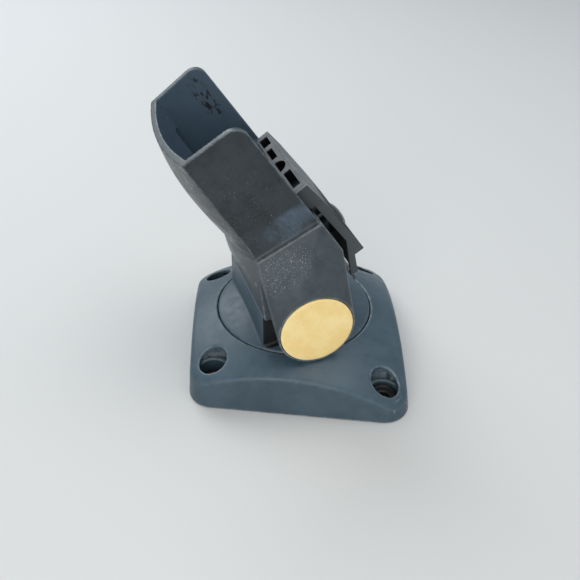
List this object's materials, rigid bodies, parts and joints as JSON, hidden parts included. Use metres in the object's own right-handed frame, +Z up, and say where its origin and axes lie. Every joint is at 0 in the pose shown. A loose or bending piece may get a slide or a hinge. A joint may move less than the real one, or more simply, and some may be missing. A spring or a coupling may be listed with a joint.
{
  "type": "rod holder",
  "caption": "Swivelling, tilting holder: a slide-in open socket on a hinged arm over a turntable, on a domed screw-down base, with a keyed connector strip and screwed rear cover.",
  "frame": {"origin": "the swivel axis at the underside of the base", "axes": "+Z up, +X towards the wide rear end of the base, +Y to the left seen from behind; the head is drawn turned 16.7 degrees and leaned 34.5 degrees towards -X at rest"},
  "size_m": [0.1312, 0.1292, 0.1576],
  "materials": {
    "base_plastic": "finely textured",
    "turntable_plastic": "finely textured",
    "arm_plastic": "satin, worn",
    "socket_plastic": "satin, scuffed",
    "carrier_plastic": "moulded",
    "cover_plastic": "moulded",
    "pad": "smooth, thin",
    "acetal": "smooth",
    "friction_rubber": "dull",
    "brass": "turned",
    "steel": "zinc plated"
  },
  "bodies": {
    "base": {"base_plate": "base_plastic", "swivel_insert": "brass", "thrust_ring": "acetal", "swivel_bolt": "steel", "swivel_washer": "steel", "spring_washer": "steel"},
    "turntable": {"turntable": "turntable_plastic", "tilt_sleeve": "steel"},
    "tilt_arm": {"tilt_arm": "arm_plastic", "tilt_bolt": "steel", "tilt_nut": "steel", "bolt_washer": "steel", "nut_washer": "steel", "friction_disc_near": "friction_rubber", "friction_disc_far": "friction_rubber", "boss_pad_near": "pad", "boss_pad_far": "pad", "socket_shell": "socket_plastic", "socket_screws": "steel", "connector_carrier": "carrier_plastic", "carrier_screws": "steel", "cover_insert": "brass"},
    "rear_cover": {"rear_cover": "cover_plastic", "cover_screw": "steel"}
  },
  "joints": [
    {"name": "swivel", "type": "hinge", "parent": "base", "child": "turntable", "pos_m": [0, 0, 0], "axis": [0, 0, 1], "continuous": true},
    {"name": "tilt", "type": "hinge", "parent": "turntable", "child": "tilt_arm", "pos_m": [-0.00469, -0.00141, 0.05], "axis": [-0.2874, 0.9578, 0], "range_deg": [0, 45]},
    {"name": "cover_lift", "type": "slide", "parent": "tilt_arm", "child": "rear_cover", "axis": [0.7894, 0.2368, 0.5664], "range_m": [0, 0.012]}
  ]
}
